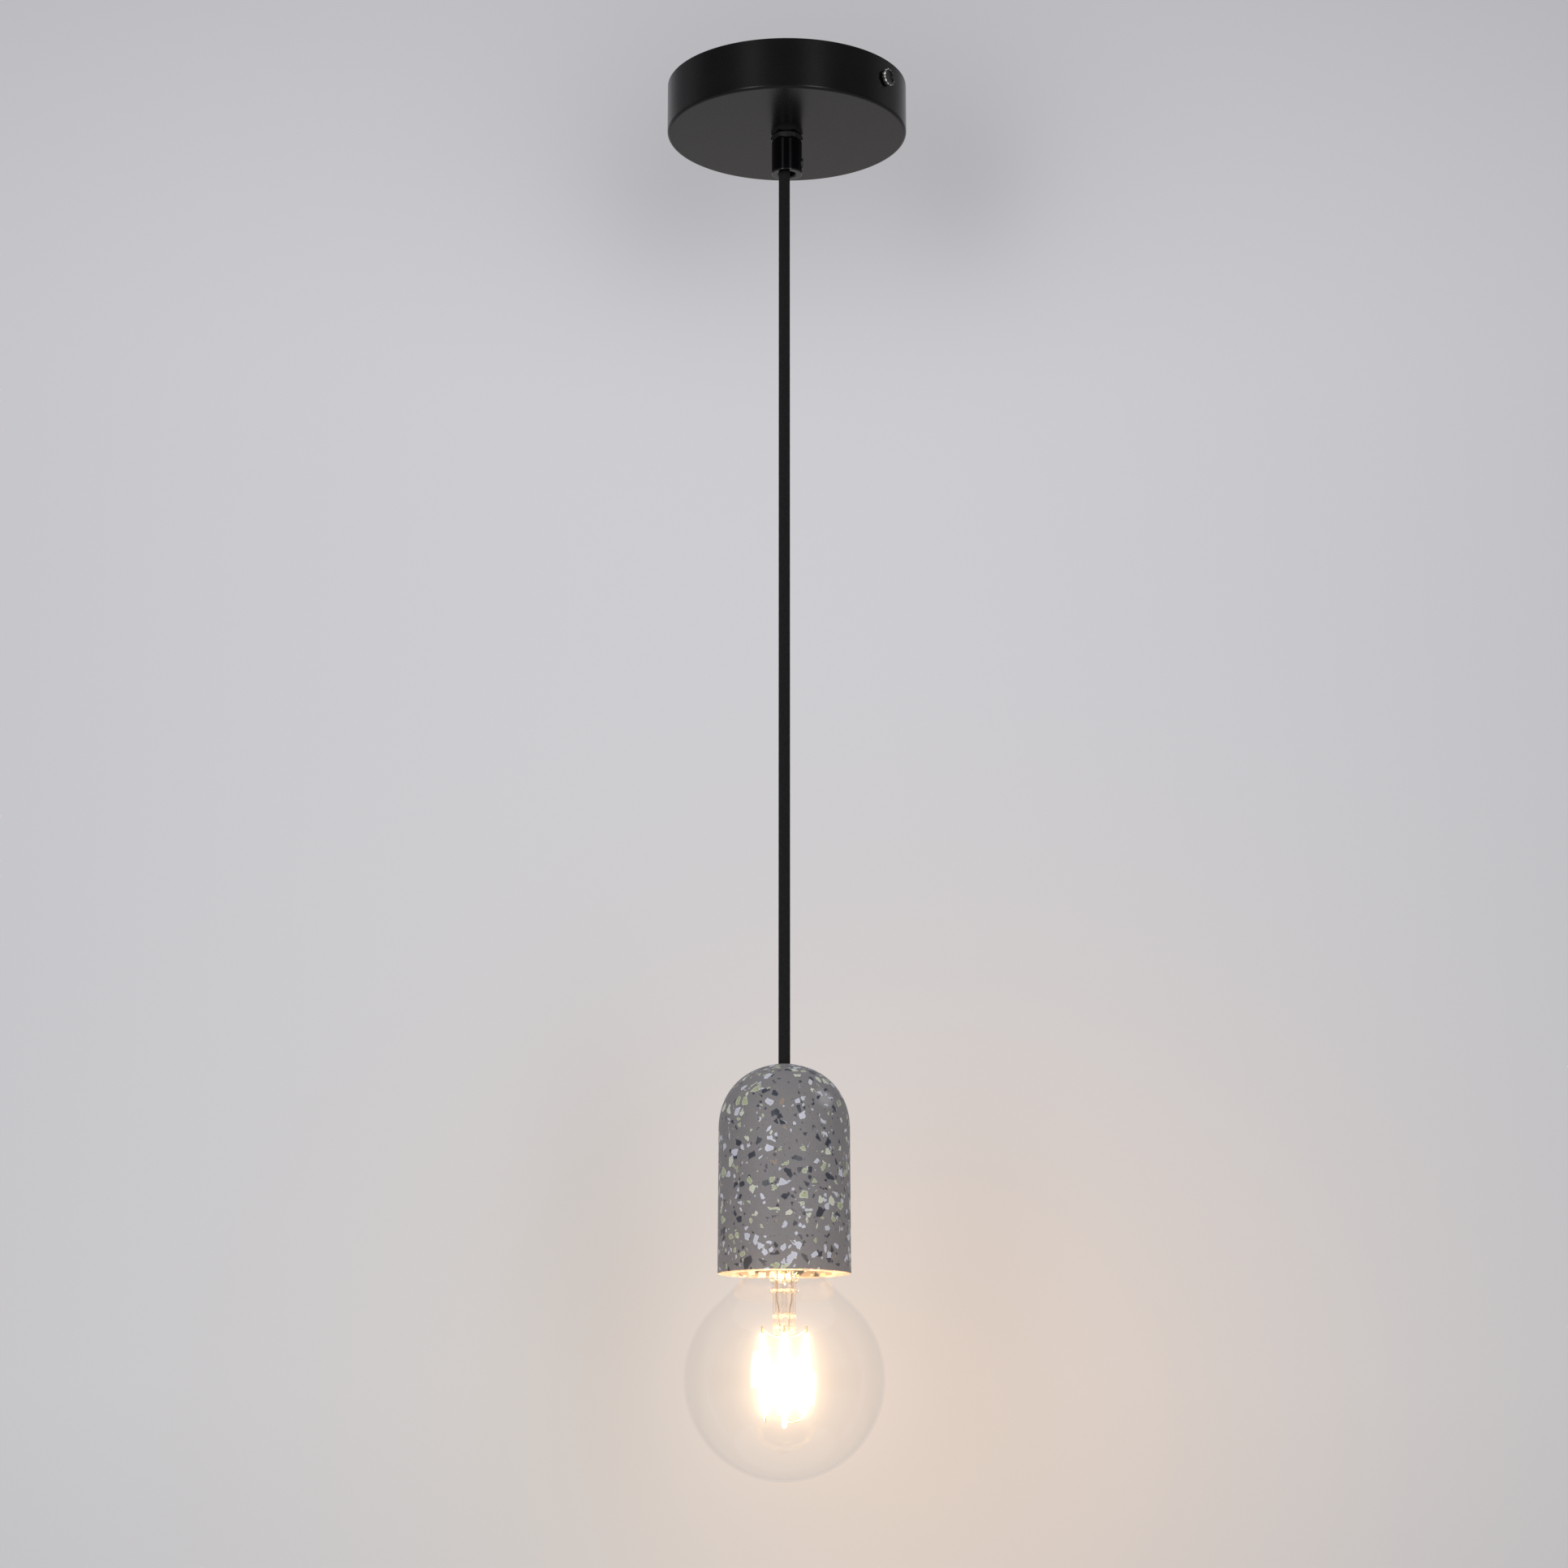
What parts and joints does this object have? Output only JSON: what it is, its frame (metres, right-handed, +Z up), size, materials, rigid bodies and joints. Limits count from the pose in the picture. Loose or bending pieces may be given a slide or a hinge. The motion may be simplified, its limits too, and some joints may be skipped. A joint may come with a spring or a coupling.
{
  "type": "pendant ceiling light",
  "caption": "Pendant light: round black canopy, cord grip, textile cord, thimble-shaped terrazzo shade over a screw lampholder, clear globe lamp with upright filaments.",
  "frame": {"origin": "middle of the canopy in the ceiling plane, on the ceiling bracket's top face", "axes": "+Z up through the ceiling; -Y towards the viewer; +X to the viewer's right; the light hangs along -Z"},
  "size_m": [0.1212, 0.1212, 0.6963],
  "materials": {
    "powder_coat": "matt black powder coat, fine texture",
    "gloss_black": "gloss black enamel on turned steel",
    "zinc_steel": "bright zinc plate",
    "black_nickel": "black nickel plate",
    "brass": "plain turned brass",
    "nickel": "nickel plate",
    "white_nylon": "natural nylon",
    "black_plastic": "black thermoset",
    "textile": "black braided textile sleeve",
    "core_brown": "brown insulation",
    "core_blue": "blue insulation",
    "terrazzo": "honed grey cement with lilac, green-cream, slate and tan stone chips",
    "fibre": "red vulcanised fibre",
    "porcelain": "white porcelain",
    "clear_glass": "thin clear glass",
    "black_glass": "black glass insulator",
    "filament": "warm glowing LED filament",
    "circuit_board": "green circuit board"
  },
  "bodies": {
    "canopy": {"ceiling_bracket": "zinc_steel", "bracket_earth_screw": "brass", "canopy_cup": "powder_coat", "terminal_block": "white_nylon", "terminal_block_screw": "zinc_steel", "terminal_tube_a": "brass", "terminal_tube_b": "brass", "terminal_screw_1": "zinc_steel", "terminal_screw_2": "zinc_steel", "terminal_screw_3": "zinc_steel", "terminal_screw_4": "zinc_steel", "cord_grip_body": "gloss_black", "grip_hex_nut": "gloss_black", "grip_lock_nut": "zinc_steel", "grip_star_washer": "zinc_steel", "cord_tail": "textile", "core_live_top": "core_brown", "core_neutral_top": "core_blue"},
    "thumb_washer_right": {"thumb_screw_washer_right": "black_nickel"},
    "thumb_screw_right": {"thumb_screw_right": "black_nickel"},
    "thumb_washer_left": {"thumb_screw_washer_left": "black_nickel"},
    "thumb_screw_left": {"thumb_screw_left": "black_nickel"},
    "grip_pad": {"grip_pressure_pad": "white_nylon"},
    "grip_screw": {"grip_set_screw": "black_plastic"},
    "cord_root": {"cord_root": "textile"},
    "pendant": {"cord": "textile", "lampholder_cap": "black_plastic", "lampholder_body": "black_plastic", "lampholder_insert": "porcelain", "holder_cord_clamp": "white_nylon", "holder_screw_a": "brass", "holder_screw_b": "brass", "screw_shell": "nickel", "side_contact": "brass", "core_live_bottom": "core_brown", "core_neutral_bottom": "core_blue"},
    "centre_contact": {"centre_contact": "brass"},
    "seat": {"shade_seat_washer": "fibre"},
    "shade": {"shade": "terrazzo", "shade_grommet": "black_plastic"},
    "bulb_tip": {"bulb_contact": "nickel"},
    "bulb": {"bulb_cap": "nickel", "bulb_insulator": "black_glass", "bulb_globe": "clear_glass", "bulb_stem": "clear_glass", "lead_wire_a": "nickel", "lead_wire_b": "nickel", "driver_board": "circuit_board", "filament_frame": "nickel", "filament_link_a": "nickel", "filament_link_b": "nickel", "filament_link_c": "nickel", "filament_1": "filament", "filament_2": "filament", "filament_3": "filament", "filament_4": "filament", "filament_5": "filament", "filament_6": "filament"}
  },
  "joints": [
    {"name": "thumb_right_travel", "type": "slide", "parent": "canopy", "child": "thumb_washer_right", "axis": [0.809, -0.5878, 0], "range_m": [0, 0.0063]},
    {"name": "thumb_right_turn", "type": "hinge", "parent": "thumb_washer_right", "child": "thumb_screw_right", "pos_m": [0.04927, -0.0358, -0.0104], "axis": [0.809, -0.5878, 0], "range_deg": [0, 3241]},
    {"name": "thumb_left_travel", "type": "slide", "parent": "canopy", "child": "thumb_washer_left", "axis": [-0.809, 0.5878, 0], "range_m": [0, 0.0063]},
    {"name": "thumb_left_turn", "type": "hinge", "parent": "thumb_washer_left", "child": "thumb_screw_left", "pos_m": [-0.04927, 0.0358, -0.0104], "axis": [-0.809, 0.5878, 0], "range_deg": [0, 3241]},
    {"name": "grip_pad_travel", "type": "slide", "parent": "canopy", "child": "grip_pad", "axis": [1, 0, 0], "range_m": [0, 0.0015]},
    {"name": "grip_screw_turn", "type": "hinge", "parent": "grip_pad", "child": "grip_screw", "pos_m": [0.0018, 0, -0.0411], "axis": [1, 0, 0], "range_deg": [0, 541]},
    {"name": "swing_front", "type": "hinge", "parent": "canopy", "child": "cord_root", "pos_m": [-0.0013, 0, -0.057], "axis": [1, 0, 0], "range_deg": [-35, 35]},
    {"name": "swing_side", "type": "hinge", "parent": "cord_root", "child": "pendant", "pos_m": [-0.0013, 0, -0.077], "axis": [0, 1, 0], "range_deg": [-35, 35]},
    {"name": "contact_press", "type": "slide", "parent": "pendant", "child": "centre_contact", "axis": [0, 0, 1], "range_m": [0, 0.001], "stiffness_N_per_m": 600},
    {"name": "shade_spin", "type": "hinge", "parent": "pendant", "child": "seat", "pos_m": [-0.0013, 0, -0.5285], "axis": [0, 0, 1], "continuous": true},
    {"name": "shade_lift", "type": "slide", "parent": "seat", "child": "shade", "axis": [0, 0, 1], "range_m": [0, 0.12]},
    {"name": "bulb_travel", "type": "slide", "parent": "pendant", "child": "bulb_tip", "axis": [0, 0, -1], "range_m": [0, 0.01816]},
    {"name": "bulb_screw", "type": "hinge", "parent": "bulb_tip", "child": "bulb", "pos_m": [-0.0013, 0, -0.559], "axis": [0, 0, -1], "range_deg": [0, 1800]}
  ],
  "couplings": [
    {"joint": "thumb_right_turn", "follows": "thumb_right_travel", "rad_per_m": 8976},
    {"joint": "thumb_left_turn", "follows": "thumb_left_travel", "rad_per_m": 8976},
    {"joint": "grip_screw_turn", "follows": "grip_pad_travel", "rad_per_m": 6283.2},
    {"joint": "bulb_travel", "follows": "bulb_screw", "m_per_rad": 0.00057757}
  ]
}
